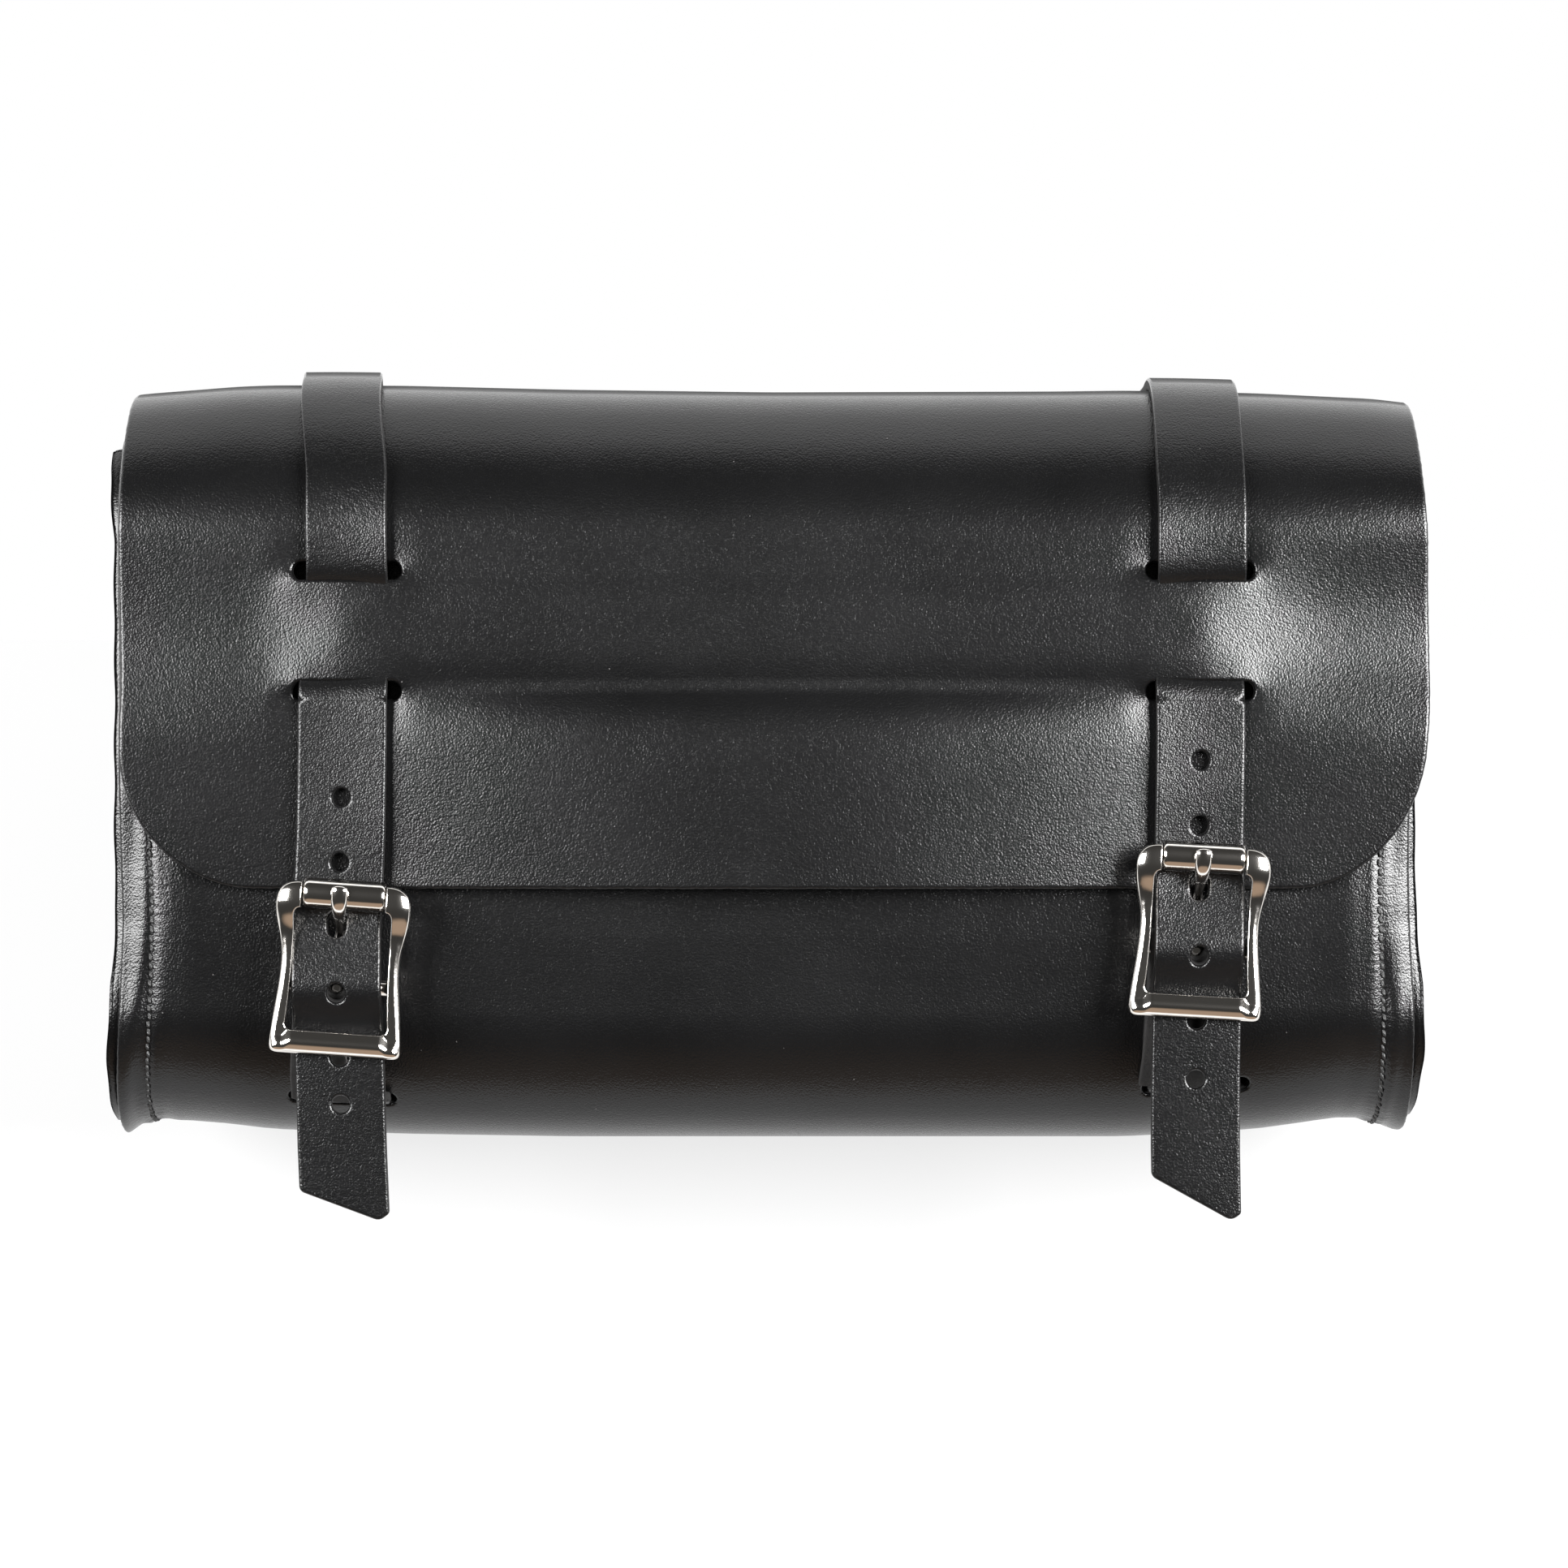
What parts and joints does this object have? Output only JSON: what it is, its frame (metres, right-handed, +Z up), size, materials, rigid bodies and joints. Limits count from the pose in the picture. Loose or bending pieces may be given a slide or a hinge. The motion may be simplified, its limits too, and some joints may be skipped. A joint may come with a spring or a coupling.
{
  "type": "saddlebag",
  "caption": "Small black leather motorcycle saddlebag: stitched box body, curved flap and straps woven through the flap into roller buckles.",
  "frame": {"origin": "midway between the two strap runs behind the bag, in the plane of their outer faces, at half of the bag's height", "axes": "+X along the bag to the viewer's right when its front is seen, +Y out of its back, +Z up; the front faces -Y"},
  "size_m": [0.2936, 0.1016, 0.1897],
  "materials": {
    "bag_leather": "semi-gloss black, fine pebbled grain",
    "strap_leather": "semi-gloss black, smooth, raw cut edges",
    "thread": "waxed black thread",
    "nickel_plate": "polished nickel plate",
    "rivet_steel": "plain tubular rivet"
  },
  "bodies": {
    "bag": {"body_panel": "bag_leather", "left_gusset": "bag_leather", "right_gusset": "bag_leather", "left_seam_thread": "thread", "right_seam_thread": "thread", "left_strap_back": "strap_leather", "right_strap_back": "strap_leather"},
    "flap": {"flap": "bag_leather", "left_strap_front": "strap_leather", "right_strap_front": "strap_leather"},
    "left_strap_end": {"left_strap_end": "strap_leather"},
    "left_chape": {"left_chape": "strap_leather", "left_chape_rivet": "rivet_steel"},
    "left_buckle": {"left_buckle_frame": "nickel_plate"},
    "left_roller": {"left_buckle_roller": "nickel_plate"},
    "left_tongue": {"left_buckle_tongue": "nickel_plate"},
    "right_strap_end": {"right_strap_end": "strap_leather"},
    "right_chape": {"right_chape": "strap_leather", "right_chape_rivet": "rivet_steel"},
    "right_buckle": {"right_buckle_frame": "nickel_plate"},
    "right_roller": {"right_buckle_roller": "nickel_plate"},
    "right_tongue": {"right_buckle_tongue": "nickel_plate"}
  },
  "joints": [
    {"name": "flap_hinge", "type": "hinge", "parent": "bag", "child": "flap", "pos_m": [0, 0, 0.052], "axis": [-1, 0, 0], "range_deg": [0, 100]},
    {"name": "left_strap_end_lift", "type": "hinge", "parent": "flap", "child": "left_strap_end", "pos_m": [-0.0945, -0.09339, 0.01363], "axis": [-1, 0, 0], "range_deg": [0, 80], "deforming": ["left_strap_end"]},
    {"name": "left_chape_swing", "type": "hinge", "parent": "bag", "child": "left_chape", "pos_m": [-0.0945, -0.07912, -0.07516], "axis": [1, 0, 0], "range_deg": [0, 150]},
    {"name": "left_buckle_tilt", "type": "hinge", "parent": "left_chape", "child": "left_buckle", "pos_m": [-0.09506, -0.09001, -0.04909], "axis": [0.999, 0, -0.0436], "range_deg": [0, 20]},
    {"name": "left_roller_spin", "type": "hinge", "parent": "left_buckle", "child": "left_roller", "pos_m": [-0.09418, -0.09608, -0.02891], "axis": [0.999, 0, -0.0436], "continuous": true},
    {"name": "left_tongue_swing", "type": "hinge", "parent": "left_buckle", "child": "left_tongue", "pos_m": [-0.09506, -0.09001, -0.04909], "axis": [0.999, 0, -0.0436], "range_deg": [0, 105]},
    {"name": "right_strap_end_lift", "type": "hinge", "parent": "flap", "child": "right_strap_end", "pos_m": [0.0945, -0.09339, 0.01363], "axis": [-1, 0, 0], "range_deg": [0, 80], "deforming": ["right_strap_end"]},
    {"name": "right_chape_swing", "type": "hinge", "parent": "bag", "child": "right_chape", "pos_m": [0.0945, -0.08169, -0.07153], "axis": [1, 0, 0], "range_deg": [0, 150]},
    {"name": "right_buckle_tilt", "type": "hinge", "parent": "right_chape", "child": "right_buckle", "pos_m": [0.09394, -0.09001, -0.04089], "axis": [0.999, 0, -0.0436], "range_deg": [0, 20]},
    {"name": "right_roller_spin", "type": "hinge", "parent": "right_buckle", "child": "right_roller", "pos_m": [0.09482, -0.09608, -0.02071], "axis": [0.999, 0, -0.0436], "continuous": true},
    {"name": "right_tongue_swing", "type": "hinge", "parent": "right_buckle", "child": "right_tongue", "pos_m": [0.09394, -0.09001, -0.04089], "axis": [0.999, 0, -0.0436], "range_deg": [0, 105]}
  ],
  "couplings": [
    {"joint": "left_chape_swing", "follows": "flap_hinge", "ratio": 1.5},
    {"joint": "right_chape_swing", "follows": "flap_hinge", "ratio": 1.5}
  ]
}
